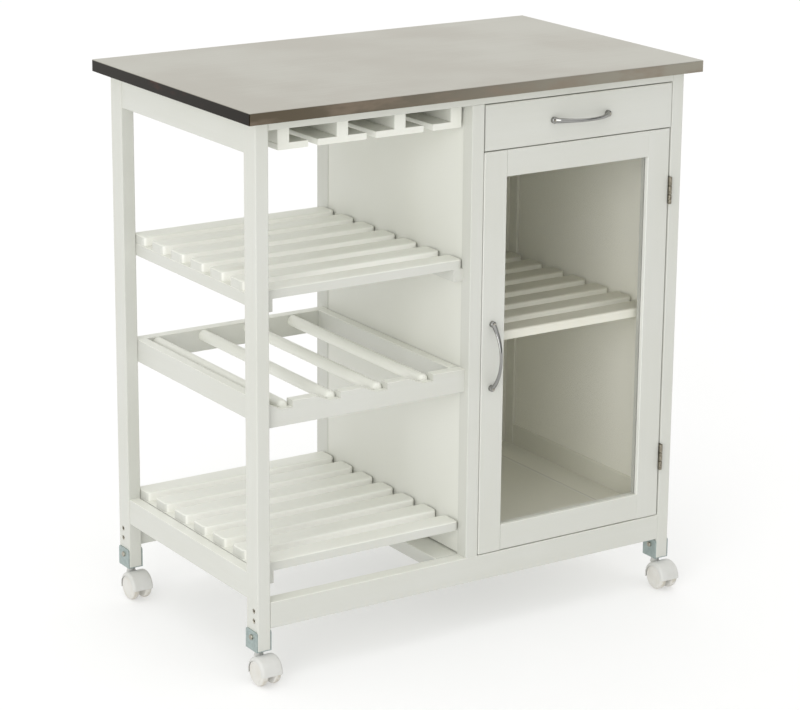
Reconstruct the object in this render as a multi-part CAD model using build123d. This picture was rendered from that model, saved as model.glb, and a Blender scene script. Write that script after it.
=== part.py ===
from build123d import *
import math
import os

# A kitchen cart on twin-wheel casters: a steel-clad worktop on four posts, with two slatted shelves, a
# bottle rack and stemware rails in the left bay, and a drawer over a glass-door cabinet in the right bay.
# Millimetres, +X to the right, -Y to the front, +Z up, with the origin on the floor under the middle of
# the whole cart.

# Worktop
TOP_W = 670.0
TOP_D = 400.0
TOP_T = 15.0
SKIN_T = 0.8
SKIN_EDGE_R = 1.2
OVERHANG = 17.0

# Posts and rails
CASTER_H = 43.0
POST_X = 18.0
POST_Y = 28.0
POST_L = 662.0
POST_EDGE_R = 1.5
EASE = 1.0
STRIP_H = 12.0
CROSS_RAIL_T = 20.0
BACK_RAIL_INSET = 1.0
APRON_H = 42.0
SIDE_RAIL_T = 15.0
SIDE_RAIL_INSET = 1.5
LOW_RAIL_H = 34.0
LOW_RAIL_LIFT = 27.0
SIDE_LOW_RAIL_H = 34.0
KEEL_W = 51.0
KEEL_T = 18.0

# Divider and panels
LEFT_BAY_W = 289.0
DIVIDER_T = 18.0
DIVIDER_STILE_D = 20.0
DIVIDER_PANEL_T = 10.0
DIVIDER_PANEL_INSET = 1.0
DIVIDER_PANEL_LIFT = 2.0
PANEL_T = 5.0
SIDE_PANEL_INSET = 4.0
BACK_PANEL_INSET = 6.0
FLOOR_T = 4.0

# Slatted shelves: each rise is the top of its slats above the bottom rails
SLAT_W = 31.0
SLAT_T = 12.0
SLAT_COUNT = 7
SLAT_CORNER_R = 6.0
SLAT_EDGE_R = 2.5
SLAT_END_GAP = 0.5
SHELF_SETBACK = 16.0
BEARER_W = 14.0
BEARER_H = 16.0
SHORT_BEARER_SETBACK = 60.0
UPPER_SHELF_RISE = 392.0
LOWER_SHELF_RISE = 46.0
CABINET_SHELF_RISE = 288.0
CABINET_SHELF_CLEAR = 4.0

# Bottle rack
RACK_RISE = 221.0
RACK_H = 30.0
RACK_T = 15.0
RACK_SIDE_T = 14.0
RACK_SETBACK = 8.5
RACK_BACK_SETBACK = 12.0
ROD_COUNT = 4
ROD_R = 7.5
ROD_NOSE_R = 4.5
ROD_NOSE_BACK = 10.0
ROD_FIRST_GAP = 8.5
ROD_LAST_GAP = 33.5
ROD_DROP = 8.5
ROD_SOCKET = 8.0
NOTCH_RAMP = 20.0

# Stemware rails
STEM_COUNT = 4
STEM_DROP = 42.0
STEM_WEB_T = 16.0
STEM_FOOT_T = 8.0
STEM_SLOT = 13.5
STEM_LEFT_GAP = 24.0
STEM_RIGHT_GAP = 3.0

# Drawer
GAP = 1.5
FRONT_T = 16.0
DRAWER_FRONT_H = 58.0
DRAWER_SIDE_T = 10.0
DRAWER_SIDE_H = 44.0
DRAWER_BACK_CLEAR = 19.0
DRAWER_LIFT = 6.5
DRAWER_SIDE_CLEAR = 3.0
DRAWER_BOTTOM_T = 4.0
DRAWER_BOTTOM_LIFT = 3.0
GROOVE = 4.0
RUNNER_H = 14.0
RUNNER_SEAT = 8.0
RUN_CLEAR = 0.3

# Door
STILE_W = 34.0
HINGE_GAP = 2.4
GLASS_T = 3.0
GLASS_LIP = 6.0
REBATE_W = 8.0
GLASS_PLAY = 1.0
BEAD_W = 7.0
BEAD_T = 6.0

# Bow handles on the drawer and the door
HANDLE_CENTRES = 84.0
HANDLE_REACH = 23.0
HANDLE_BAR_H = 7.0
HANDLE_BAR_T = 4.4
HANDLE_BOSS_R = 4.5
HANDLE_BOSS_H = 8.0
HANDLE_BOSS_EDGE_R = 2.2
HANDLE_BOW_START = 6.0
HANDLE_EDGE_IN = 15.0

# Butt hinges
HINGE_H = 36.0
HINGE_INSET = 81.5
HINGE_LEAF_W = 12.0
HINGE_LEAF_T = 1.0
KNUCKLE_R = 2.5
HINGE_PIN_R = 1.2
PIN_CLEAR = 0.05

# Magnetic catch behind the door's top left corner
CATCH_W = 18.0
CATCH_D = 13.0
CATCH_H = 40.0
CATCH_NOSE_W = 9.0
CATCH_PLATE_T = 0.8
CATCH_AIR = 0.3
CATCH_DROP = 10.0

# Fasteners
HANDLE_SCREW_R = 2.0
HANDLE_SCREW_HEAD_R = 4.0
HANDLE_SCREW_HEAD_T = 2.4
HANDLE_SCREW_BITE = 6.0
BOLT_R = 2.5
BOLT_HEAD_R = 3.4
BOLT_HEAD_T = 3.0
BOLT_SUNK = 0.6
BOLT_SOCKET_R = 1.8
BOLT_SOCKET_DEPTH = 1.8
BOLT_BITE = 30.0
BOLT_PITCH = 13.0
BRACKET_SCREW_R = 1.75
BRACKET_SCREW_HEAD_R = 3.5
BRACKET_SCREW_HEAD_T = 2.0
BRACKET_SCREW_L = 7.0
SCREW_HEAD_EDGE_R = 1.2

# Casters
BRACKET_T = 1.5
BRACKET_H = 26.0
BRACKET_SIDE_IN = 0.5
BRACKET_CORNER_R = 3.0
BRACKET_SCREW_DROP = 9.0
STEM_R = 3.0
STEM_BITE = 12.0
COLLAR_R = 5.0
WHEEL_R = 17.5
WHEEL_W = 10.5
WHEEL_EDGE_R = 2.5
WHEEL_GROOVE_R = 13.0
WHEEL_GROOVE_W = 2.0
WHEEL_GROOVE_DEPTH = 1.0
WHEEL_SIDE_GAP = 0.5
TRAIL = 16.0
AXLE_R = 3.0
AXLE_END = 3.0
HOOD_WEB_T = 8.0
HOOD_T = 1.8
HOOD_CLEAR = 0.6
HOOD_EDGE_R = 1.5
HOOD_FRONT_DEG = -12.0
HOOD_BACK_DEG = 150.0
HOOD_WEB_LOW = 9.0
BOSS_R = 5.5
BOSS_H = 7.5
BOSS_PROUD = 1.6
STEM_SEAT = 17.5
NECK_FLOOR_T = 3.0

# Planes that several pieces share
y_shift = (HANDLE_REACH - OVERHANG) / 2
y_front = -TOP_D / 2 + OVERHANG + y_shift
y_back = TOP_D / 2 - OVERHANG + y_shift
x_out = TOP_W / 2 - OVERHANG
x_in = x_out - POST_X
z_foot = CASTER_H
z_under = CASTER_H + POST_L
z_deck = z_foot + LOW_RAIL_LIFT + LOW_RAIL_H
x_div0 = -x_in + LEFT_BAY_W
x_div1 = x_div0 + DIVIDER_T
x_panel0 = x_div0 + DIVIDER_PANEL_INSET
x_panel1 = x_panel0 + DIVIDER_PANEL_T
x_side = x_in + SIDE_PANEL_INSET
y_rail_front = y_front + CROSS_RAIL_T
y_rail_back = y_back - BACK_RAIL_INSET - CROSS_RAIL_T
y_post_front = y_front + POST_Y
y_post_back = y_back - POST_Y
y_cab_back = y_back - BACK_PANEL_INSET - PANEL_T
z_strip = z_under - STRIP_H
z_apron = z_under - APRON_H
boss_top = WHEEL_R * 2 + HOOD_CLEAR + HOOD_T + BOSS_PROUD
stem_low = boss_top - STEM_SEAT
drawer_top = z_strip - GAP
drawer_low = drawer_top - DRAWER_FRONT_H
door_x = (x_div1 + GAP, x_in - HINGE_GAP)
door_z = (z_deck + GAP, drawer_low - GAP)
hinge_x = x_in - HINGE_GAP / 2
hinge_y = y_front - KNUCKLE_R - RUN_CLEAR


def block(x, y, z):
    """A plain box between three pairs of limits."""
    centre = [(a + b) / 2 for a, b in (x, y, z)]
    return Pos(*centre) * Box(x[1] - x[0], y[1] - y[0], z[1] - z[0])


def board(x, y, z, grain, ease=EASE):
    """A wooden piece whose edges along the grain are eased."""
    piece = block(x, y, z)
    return fillet(piece.edges().filter_by(grain), ease)


def bar(start, toward, radius, length):
    """A round bar from a point, along a direction."""
    seat = Plane(origin=start, z_dir=toward)
    return seat * Cylinder(radius, length, align=(Align.CENTER, Align.CENTER, Align.MIN))


def save(node, *pieces):
    """Writes one node: each piece stays a solid of its own."""
    solids = [solid for piece in pieces for solid in piece.solids()]
    export_step(Compound(solids), f"parts/{node}.step")


def mirror_x(piece):
    """The same piece on the other side of the cart."""
    return mirror(piece, about=Plane.YZ)


def worktop():
    """A board with a steel sheet folded over its top and down its edges."""
    half_w = TOP_W / 2
    y0 = -TOP_D / 2 + y_shift
    y1 = TOP_D / 2 + y_shift
    z1 = z_under + TOP_T
    core = block(
        (-half_w + SKIN_T, half_w - SKIN_T), (y0 + SKIN_T, y1 - SKIN_T), (z_under, z1 - SKIN_T)
    )
    skin = block((-half_w, half_w), (y0, y1), (z_under, z1))
    skin = fillet(skin.edges().filter_by(Axis.Z), SKIN_EDGE_R)
    skin = fillet(skin.faces().sort_by(Axis.Z)[-1].edges(), SKIN_EDGE_R)
    save("worktop_core", core)
    save("worktop_skin", skin - core)


def bolt_heights():
    """Heights of the two bolts through each post into the end of a bottom rail."""
    middle = z_foot + LOW_RAIL_LIFT + LOW_RAIL_H / 2
    return [middle - BOLT_PITCH / 2, middle + BOLT_PITCH / 2]


def bolt_places():
    """Middle of each bolt head on the outer face of a right-hand post, front and back."""
    depths = [(y_front + y_rail_front) / 2, (y_rail_back + y_back - BACK_RAIL_INSET) / 2]
    return [(x_out, y, z) for y in depths for z in bolt_heights()]


def bolt(place):
    """A socket-head bolt, sunk in the post, that runs into the rail's end."""
    x, y, z = place
    face = x - BOLT_SUNK
    head = bar((face, y, z), (-1, 0, 0), BOLT_HEAD_R, BOLT_HEAD_T)
    shank = bar((face, y, z), (-1, 0, 0), BOLT_R, POST_X - BOLT_SUNK + BOLT_BITE)
    seat = Plane(origin=(face, y, z), z_dir=(-1, 0, 0))
    socket = seat * extrude(RegularPolygon(BOLT_SOCKET_R, 6), BOLT_SOCKET_DEPTH)
    return head + shank - socket


def bolt_hole(place):
    """What a bolt leaves empty in the post and the rail."""
    x, y, z = place
    wide = bar((x, y, z), (-1, 0, 0), BOLT_HEAD_R, BOLT_SUNK + BOLT_HEAD_T)
    return wide + bar((x, y, z), (-1, 0, 0), BOLT_R, POST_X + BOLT_BITE)


def caster_places():
    """Where each caster's stem enters a post: name and point on the post's foot."""
    x = x_in + POST_X / 2
    front = y_front + POST_Y / 2
    back = y_back - POST_Y / 2
    return {
        "front_left": (-x, front, z_foot),
        "front_right": (x, front, z_foot),
        "back_left": (-x, back, z_foot),
        "back_right": (x, back, z_foot),
    }


def bracket_screws(place):
    """The two screws that hold a caster bracket, one on each side of the post."""
    x, y, z = place
    height = z - BRACKET_T + BRACKET_H - BRACKET_SCREW_DROP
    screws = []
    for side in (-1, 1):
        face = x + side * (POST_X / 2 + BRACKET_T)
        head = bar((face, y, height), (side, 0, 0), BRACKET_SCREW_HEAD_R, BRACKET_SCREW_HEAD_T)
        rim = head.edges().filter_by(GeomType.CIRCLE).sort_by(Axis.X)[-1 if side > 0 else 0]
        head = fillet(rim, SCREW_HEAD_EDGE_R)
        shank = bar((face, y, height), (-side, 0, 0), BRACKET_SCREW_R, BRACKET_SCREW_L)
        screws.append(head + shank)
    return screws


def bracket(place):
    """A zinc-plated U that wraps the foot of a post."""
    x, y, z = place
    wide = POST_X / 2 + BRACKET_T
    deep = POST_Y / 2 - BRACKET_SIDE_IN
    low = z - BRACKET_T
    outer = block((x - wide, x + wide), (y - deep, y + deep), (low, low + BRACKET_H))
    corners = outer.edges().filter_by(Axis.X).group_by(Axis.Z)[-1]
    outer = fillet(corners, BRACKET_CORNER_R)
    post = block((x - POST_X / 2, x + POST_X / 2), (y - POST_Y, y + POST_Y), (z, z + BRACKET_H))
    shape = outer - post - bar((x, y, low), (0, 0, 1), STEM_R, BRACKET_T)
    for screw in bracket_screws(place):
        shape -= screw
    return shape


def stem(place):
    """The steel pin that a caster swivels on, with the collar that carries the load."""
    x, y, z = place
    low = z - BRACKET_T
    collar_low = boss_top + RUN_CLEAR
    pin = bar((x, y, stem_low), (0, 0, 1), STEM_R, z + STEM_BITE - stem_low)
    return pin + bar((x, y, collar_low), (0, 0, 1), COLLAR_R, low - collar_low)


def posts():
    """Four posts with the holes for their bolts, brackets and caster stems."""
    places = caster_places()
    holes = [bolt_hole(place) for place in bolt_places()]
    shapes = {}
    for name, place in places.items():
        x, y, z = place
        wide = (x - POST_X / 2, x + POST_X / 2)
        deep = (y - POST_Y / 2, y + POST_Y / 2)
        shape = block(wide, deep, (z, z_under))
        shape = fillet(shape.edges().filter_by(Axis.Z), POST_EDGE_R)
        for hole in holes:
            shape -= hole if x > 0 else mirror_x(hole)
        for screw in bracket_screws(place):
            shape -= screw
        shapes[name] = shape - bar(place, (0, 0, 1), STEM_R, STEM_BITE)
    save("front_posts", shapes["front_left"], shapes["front_right"])
    save("back_posts", shapes["back_left"], shapes["back_right"])


def rails():
    """The rails that tie the posts together under the worktop and at the bottom."""
    across = (-x_in, x_in)
    front = (y_front, y_rail_front)
    back = (y_rail_back, y_back - BACK_RAIL_INSET)
    low = (z_foot + LOW_RAIL_LIFT, z_deck)
    side = (x_out - SIDE_RAIL_INSET - SIDE_RAIL_T, x_out - SIDE_RAIL_INSET)
    along = (y_post_front, y_post_back)
    front_low = board(across, front, low, Axis.X)
    back_low = board(across, back, low, Axis.X)
    for place in bolt_places():
        for hole in (bolt_hole(place), mirror_x(bolt_hole(place))):
            front_low -= hole
            back_low -= hole
    side_top = board(side, along, (z_apron, z_under), Axis.Y)
    side_low = board(side, along, (z_deck, z_deck + SIDE_LOW_RAIL_H), Axis.Y)
    keel = board(
        (x_div1 - KEEL_W, x_div1), (y_rail_front, y_rail_back), (z_deck - KEEL_T, z_deck), Axis.Y
    )
    save("top_rail_front", board(across, front, (z_strip, z_under), Axis.X))
    save("top_rail_back", board(across, back, (z_apron, z_under), Axis.X))
    save("top_side_rails", side_top, mirror_x(side_top))
    save("bottom_rail_front", front_low)
    save("bottom_rail_back", back_low)
    save("bottom_side_rails", side_low, mirror_x(side_low))
    save("bottom_rail_middle", keel)
    bolts = [bolt(place) for place in bolt_places()]
    screws = [screw for place in caster_places().values() for screw in bracket_screws(place)]
    save("frame_fasteners", *bolts, *[mirror_x(one) for one in bolts], *screws)


def divider_and_panels():
    """The wall between the bays, and the panels that close the cabinet."""
    face = (x_div0, x_div1)
    front = board(face, (y_front, y_front + DIVIDER_STILE_D), (z_deck, z_strip), Axis.Z)
    back = board(face, (y_post_back, y_back), (z_deck, z_under), Axis.Z)
    back -= block(face, (y_rail_back, y_back), (z_apron, z_under))
    panel = block(
        (x_panel0, x_panel1),
        (y_front + DIVIDER_STILE_D, y_post_back),
        (z_deck + DIVIDER_PANEL_LIFT, z_under),
    )
    side = block(
        (x_side, x_side + PANEL_T),
        (y_post_front, y_post_back),
        (z_deck + SIDE_LOW_RAIL_H, z_apron),
    )
    rear = block((x_div1, x_in), (y_cab_back, y_cab_back + PANEL_T), (z_deck, z_apron))
    floor_z = (z_deck, z_deck + FLOOR_T)
    floor = block((x_div1, x_in), (y_front + FRONT_T + RUN_CLEAR, y_cab_back), floor_z)
    floor_side = x_out - SIDE_RAIL_INSET - SIDE_RAIL_T
    floor += block((x_panel1, floor_side), (y_post_front, y_post_back), floor_z)
    save("divider_stile_front", front)
    save("divider_stile_back", back)
    save("divider_panel", panel)
    save("cabinet_side_panel", side)
    save("cabinet_back_panel", rear)
    save("cabinet_floor", floor)


def slats(x, y, top):
    """A row of rounded slats along X, spread evenly over a depth."""
    pitch = (y[1] - y[0] - SLAT_W) / (SLAT_COUNT - 1)
    row = []
    for i in range(SLAT_COUNT):
        near = y[0] + i * pitch
        slat = block(x, (near, near + SLAT_W), (top - SLAT_T, top))
        slat = fillet(slat.edges().filter_by(Axis.Z), SLAT_CORNER_R)
        row.append(fillet(slat.faces().sort_by(Axis.Z)[-1].edges(), SLAT_EDGE_R))
    return row


def bearers(x, y, top, right_setback=0.0):
    """The two strips along Y that a row of slats lies on. The right one may start farther back."""
    z = (top - SLAT_T - BEARER_H, top - SLAT_T)
    left = board((x[0], x[0] + BEARER_W), y, z, Axis.Y)
    right = board((x[1] - BEARER_W, x[1]), (y[0] + right_setback, y[1]), z, Axis.Y)
    return [left, right]


def shelves():
    """Two open shelves in the left bay and one in the cabinet."""
    bay = (-x_in, x_div0)
    bay_slats = (-x_in + SLAT_END_GAP, x_div0 - SLAT_END_GAP)
    depth = (y_front + SHELF_SETBACK, y_back - SHELF_SETBACK)
    cabinet_slats = (x_div1 + SLAT_END_GAP, x_in - SLAT_END_GAP)
    cabinet_depth = (y_front + DIVIDER_STILE_D, y_cab_back - CABINET_SHELF_CLEAR)
    cabinet_bearing = (y_post_front, y_post_back)
    upper = z_deck + UPPER_SHELF_RISE
    lower = z_deck + LOWER_SHELF_RISE
    cabinet = z_deck + CABINET_SHELF_RISE
    save("upper_shelf_slats", *slats(bay_slats, depth, upper))
    save("lower_shelf_slats", *slats(bay_slats, depth, lower))
    save("cabinet_shelf_slats", *slats(cabinet_slats, cabinet_depth, cabinet))
    save(
        "shelf_bearers",
        *bearers(bay, depth, upper),
        *bearers(bay, depth, lower, SHORT_BEARER_SETBACK),
        *bearers((x_panel1, x_side), cabinet_bearing, cabinet),
    )


def bottle_rack():
    """A frame with round rods: let into the back rail, and resting in notches of the front rail."""
    front = (y_front + RACK_SETBACK, y_front + RACK_SETBACK + RACK_T)
    back = (y_back - RACK_BACK_SETBACK - RACK_T, y_back - RACK_BACK_SETBACK)
    height = (z_deck + RACK_RISE, z_deck + RACK_RISE + RACK_H)
    sides = (front[1], back[0])
    left = board((-x_in, -x_in + RACK_SIDE_T), sides, height, Axis.Y)
    right = board((x_div0 - RACK_SIDE_T, x_div0), sides, height, Axis.Y)
    front_rail = board((-x_in, x_div0), front, height, Axis.X)
    back_rail = board((-x_in, x_div0), back, height, Axis.X)
    first = -x_in + RACK_SIDE_T + ROD_FIRST_GAP + ROD_R
    last = x_div0 - RACK_SIDE_T - ROD_LAST_GAP - ROD_R
    pitch = (last - first) / (ROD_COUNT - 1)
    rod_z = height[1] - ROD_DROP
    nose_y = front[0] + ROD_NOSE_BACK
    tail_y = back[0] + ROD_SOCKET
    rods = []
    for i in range(ROD_COUNT):
        x = first + i * pitch
        rod = bar((x, tail_y, rod_z), (0, -1, 0), ROD_R, tail_y - nose_y)
        nose = rod.edges().filter_by(GeomType.CIRCLE).sort_by(Axis.Y)[0]
        ramp = Polyline(
            (x + ROD_R, height[1]),
            (x - ROD_R - NOTCH_RAMP, height[1]),
            (x - ROD_R, rod_z),
            (x + ROD_R, rod_z),
            close=True,
        )
        notch = extrude(Plane.XZ.offset(-front[1]) * make_face(ramp), RACK_T)
        front_rail = front_rail - notch - rod
        back_rail -= rod
        rods.append(fillet(nose, ROD_NOSE_R))
    save("bottle_rack_front_rail", front_rail)
    save("bottle_rack_back_rail", back_rail)
    save("bottle_rack_side_boards", left, right)
    save("bottle_rack_rods", *rods)


def stemware_rails():
    """Four webs under the worktop, each with a foot that glass feet hang on: the end feet are halves."""
    first = -x_in + STEM_LEFT_GAP
    last = x_div0 - STEM_RIGHT_GAP - STEM_WEB_T
    pitch = (last - first) / (STEM_COUNT - 1)
    along = (y_rail_front, y_rail_back)
    low = z_under - STEM_DROP
    webs = []
    feet = []
    for i in range(STEM_COUNT):
        x = first + i * pitch
        middle = x + STEM_WEB_T / 2
        reach = (pitch - STEM_SLOT) / 2
        x0 = x if i == 0 else middle - reach
        x1 = x + STEM_WEB_T if i == STEM_COUNT - 1 else middle + reach
        webs.append(board((x, x + STEM_WEB_T), along, (low + STEM_FOOT_T, z_under), Axis.Y))
        feet.append(board((x0, x1), along, (low, low + STEM_FOOT_T), Axis.Y))
    save("stem_rail_webs", *webs)
    save("stem_rail_feet", *feet)


def bow_handle(centre, upright):
    """A bow between two round feet. It stands out from the front face, level or upright."""
    half = HANDLE_CENTRES / 2
    rise = HANDLE_REACH - HANDLE_BAR_T / 2 - HANDLE_BOW_START
    radius = (half**2 + rise**2) / (2 * rise)
    sweep = 2 * math.degrees(math.asin(half / radius))
    section = Plane.XZ * Pos(radius, 0) * Ellipse(HANDLE_BAR_T / 2, HANDLE_BAR_H / 2)
    bow = revolve(section, Axis.Z, sweep)
    bow = Pos(0, radius - rise - HANDLE_BOW_START, 0) * Rot(0, 0, -90 - sweep / 2) * bow
    shape = bow
    for side in (-1, 1):
        foot = bar((side * half, 0, 0), (0, -1, 0), HANDLE_BOSS_R, HANDLE_BOSS_H)
        rim = foot.edges().filter_by(GeomType.CIRCLE).sort_by(Axis.Y)[0]
        shape += fillet(rim, HANDLE_BOSS_EDGE_R)
    for side in (-1, 1):
        shape -= bar((side * half, 0, 0), (0, -1, 0), HANDLE_SCREW_R, HANDLE_SCREW_BITE)
    return Pos(*centre) * Rot(0, 90 if upright else 0, 0) * shape


def handle_screws(centre, upright):
    """The two screws that come through the front from behind into a handle's feet."""
    x, y, z = centre
    half = HANDLE_CENTRES / 2
    screws = []
    for side in (-1, 1):
        place = (x, y + FRONT_T, z + side * half) if upright else (x + side * half, y + FRONT_T, z)
        head = bar(place, (0, 1, 0), HANDLE_SCREW_HEAD_R, HANDLE_SCREW_HEAD_T)
        rim = head.edges().filter_by(GeomType.CIRCLE).sort_by(Axis.Y)[-1]
        head = fillet(rim, SCREW_HEAD_EDGE_R)
        screws.append(head + bar(place, (0, -1, 0), HANDLE_SCREW_R, FRONT_T + HANDLE_SCREW_BITE))
    return screws


def drawer():
    """A drawer whose sides ride on two wooden runners."""
    x = (x_div1 + GAP, x_in - GAP)
    box_x = (x_div1 + DRAWER_SIDE_CLEAR, x_in - DRAWER_SIDE_CLEAR)
    box_y = (y_front + FRONT_T, y_rail_back - DRAWER_BACK_CLEAR)
    box_z = (drawer_low + DRAWER_LIFT, drawer_low + DRAWER_LIFT + DRAWER_SIDE_H)
    inner = (box_x[0] + DRAWER_SIDE_T, box_x[1] - DRAWER_SIDE_T)
    back_y = box_y[1] - DRAWER_SIDE_T
    bottom_z = box_z[0] + DRAWER_BOTTOM_LIFT
    bottom = block(
        (inner[0] - GROOVE, inner[1] + GROOVE),
        (box_y[0] - GROOVE, box_y[1]),
        (bottom_z, bottom_z + DRAWER_BOTTOM_T),
    )
    handle_at = ((x[0] + x[1]) / 2, y_front, (drawer_low + drawer_top) / 2)
    screws = handle_screws(handle_at, False)
    face = board(x, (y_front, box_y[0]), (drawer_low, drawer_top), Axis.X) - bottom
    for screw in screws:
        face -= screw
    left = block((box_x[0], inner[0]), box_y, box_z) - bottom
    right = block((inner[1], box_x[1]), box_y, box_z) - bottom
    back = block(inner, (back_y, box_y[1]), (bottom_z + DRAWER_BOTTOM_T, box_z[1]))
    seat = box_z[0] - RUN_CLEAR
    runner_z = (seat - RUNNER_H, seat)
    runner_left = block(
        (x_panel1, box_x[0] + RUNNER_SEAT), (y_front + DIVIDER_STILE_D, y_post_back), runner_z
    )
    runner_right = block((box_x[1] - RUNNER_SEAT, x_side), (y_post_front, y_post_back), runner_z)
    save("drawer_front", face)
    save("drawer_sides", left, right)
    save("drawer_back", back)
    save("drawer_bottom", bottom)
    save("drawer_handle", bow_handle(handle_at, False))
    save("drawer_handle_screws", *screws)
    save("drawer_runners", runner_left, runner_right)


def door():
    """A framed glass door with a handle on its left stile."""
    y = (y_front, y_front + FRONT_T)
    inner_x = (door_x[0] + STILE_W, door_x[1] - STILE_W)
    inner_z = (door_z[0] + STILE_W, door_z[1] - STILE_W)
    pane_y = y_front + GLASS_LIP
    hole_x = (inner_x[0] - REBATE_W, inner_x[1] + REBATE_W)
    hole_z = (inner_z[0] - REBATE_W, inner_z[1] + REBATE_W)
    pocket = block(hole_x, (pane_y, y[1]), hole_z)
    handle_at = (door_x[0] + HANDLE_EDGE_IN, y_front, (door_z[0] + door_z[1]) / 2)
    screws = handle_screws(handle_at, True)
    left = board((door_x[0], inner_x[0]), y, door_z, Axis.Z) - pocket
    right = board((inner_x[1], door_x[1]), y, door_z, Axis.Z) - pocket
    for screw in screws:
        left -= screw
    low = board(inner_x, y, (door_z[0], inner_z[0]), Axis.X) - pocket
    high = board(inner_x, y, (inner_z[1], door_z[1]), Axis.X) - pocket
    glass_x = (hole_x[0] + GLASS_PLAY, hole_x[1] - GLASS_PLAY)
    glass_z = (hole_z[0] + GLASS_PLAY, hole_z[1] - GLASS_PLAY)
    bead_y = (pane_y + GLASS_T, pane_y + GLASS_T + BEAD_T)
    short_x = (hole_x[0] + BEAD_W, hole_x[1] - BEAD_W)
    save("door_stiles", left, right)
    save("door_rails", low, high)
    save("door_glass", block(glass_x, (pane_y, pane_y + GLASS_T), glass_z))
    save(
        "door_beads",
        block((hole_x[0], hole_x[0] + BEAD_W), bead_y, hole_z),
        block((hole_x[1] - BEAD_W, hole_x[1]), bead_y, hole_z),
        block(short_x, bead_y, (hole_z[0], hole_z[0] + BEAD_W)),
        block(short_x, bead_y, (hole_z[1] - BEAD_W, hole_z[1])),
    )
    save("door_handle", bow_handle(handle_at, True))
    save("door_handle_screws", *screws)


def hinge_leaf(plate_x, knuckles, low, bore):
    """A leaf between the door and the post, with its share of the knuckles round the pin."""
    plate = block(plate_x, (y_front, y_front + HINGE_LEAF_W), (low, low + HINGE_H))
    hollow = bar((hinge_x, hinge_y, low), (0, 0, 1), bore, HINGE_H)
    for z0, z1 in knuckles:
        plate += block(plate_x, (hinge_y, y_front), (z0, z1))
        plate += bar((hinge_x, hinge_y, z0), (0, 0, 1), KNUCKLE_R, z1 - z0)
    return plate - hollow


def hinges():
    """Two butt hinges, with fixed pins, on the door's right edge."""
    frame_leaves = []
    door_leaves = []
    pins = []
    third = HINGE_H / 3
    for low in (door_z[0] + HINGE_INSET - HINGE_H / 2, door_z[1] - HINGE_INSET - HINGE_H / 2):
        ends = [(low, low + third), (low + 2 * third, low + HINGE_H)]
        middle = [(low + third + RUN_CLEAR, low + 2 * third - RUN_CLEAR)]
        frame_leaves.append(hinge_leaf((x_in - HINGE_LEAF_T, x_in), ends, low, HINGE_PIN_R))
        door_plate = (door_x[1], door_x[1] + HINGE_LEAF_T)
        door_leaves.append(hinge_leaf(door_plate, middle, low, HINGE_PIN_R + PIN_CLEAR))
        pins.append(bar((hinge_x, hinge_y, low), (0, 0, 1), HINGE_PIN_R, HINGE_H))
    save("hinge_frame_leaves", *frame_leaves)
    save("hinge_door_leaves", *door_leaves)
    save("hinge_pins", *pins)


def catch():
    """A magnetic catch on the divider, and the steel plate on the door that it holds."""
    z = (door_z[1] - CATCH_DROP - CATCH_H, door_z[1] - CATCH_DROP)
    y0 = y_front + DIVIDER_STILE_D
    door_back = y_front + FRONT_T
    nose_x = (x_panel1 + CATCH_W - CATCH_NOSE_W, x_panel1 + CATCH_W)
    nose_y = (door_back + CATCH_PLATE_T + CATCH_AIR, y0)
    body = block((x_panel1, x_panel1 + CATCH_W), (y0, y0 + CATCH_D), z)
    save("door_catch", body + block(nose_x, nose_y, z))
    save("door_catch_plate", block(nose_x, (door_back, door_back + CATCH_PLATE_T), z))


def wheel_sector():
    """The part of the wheels' round that a hood covers, seen along the axle."""
    far = WHEEL_R * 2
    steps = 5
    points = [(-TRAIL, WHEEL_R)]
    for i in range(steps + 1):
        turn = math.radians(HOOD_FRONT_DEG + (HOOD_BACK_DEG - HOOD_FRONT_DEG) * i / steps)
        points.append((-TRAIL - far * math.cos(turn), WHEEL_R + far * math.sin(turn)))
    return make_face(Polyline(*points, close=True))


def hood():
    """One caster's hood, round the stem at the origin: a cover over two wheels, on a middle web."""
    wide = HOOD_WEB_T / 2 + WHEEL_SIDE_GAP + WHEEL_W
    inside = WHEEL_R + HOOD_CLEAR
    drum = bar((-wide, -TRAIL, WHEEL_R), (1, 0, 0), inside + HOOD_T, 2 * wide)
    drum = fillet(drum.edges().filter_by(GeomType.CIRCLE), HOOD_EDGE_R)
    cover = drum - bar((-wide, -TRAIL, WHEEL_R), (1, 0, 0), inside, 2 * wide)
    cover &= extrude(Plane.YZ * wheel_sector(), 2 * wide, both=True)
    web = bar((-HOOD_WEB_T / 2, -TRAIL, WHEEL_R), (1, 0, 0), inside, HOOD_WEB_T)
    half_web = (-HOOD_WEB_T / 2, HOOD_WEB_T / 2)
    web -= block(half_web, (-TRAIL - inside, -TRAIL + inside), (-HOOD_CLEAR, HOOD_WEB_LOW))
    neck = block(half_web, (-TRAIL, BOSS_R), (stem_low - NECK_FLOOR_T, boss_top - BOSS_H))
    boss = bar((0, 0, boss_top - BOSS_H), (0, 0, 1), BOSS_R, BOSS_H)
    shape = cover + web + neck + boss
    shape -= bar((0, 0, stem_low - RUN_CLEAR), (0, 0, 1), STEM_R + PIN_CLEAR, boss_top)
    reach = wide - AXLE_END
    pin = bar((-reach, -TRAIL, WHEEL_R), (1, 0, 0), AXLE_R, 2 * reach)
    return [shape - pin, pin]


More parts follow.
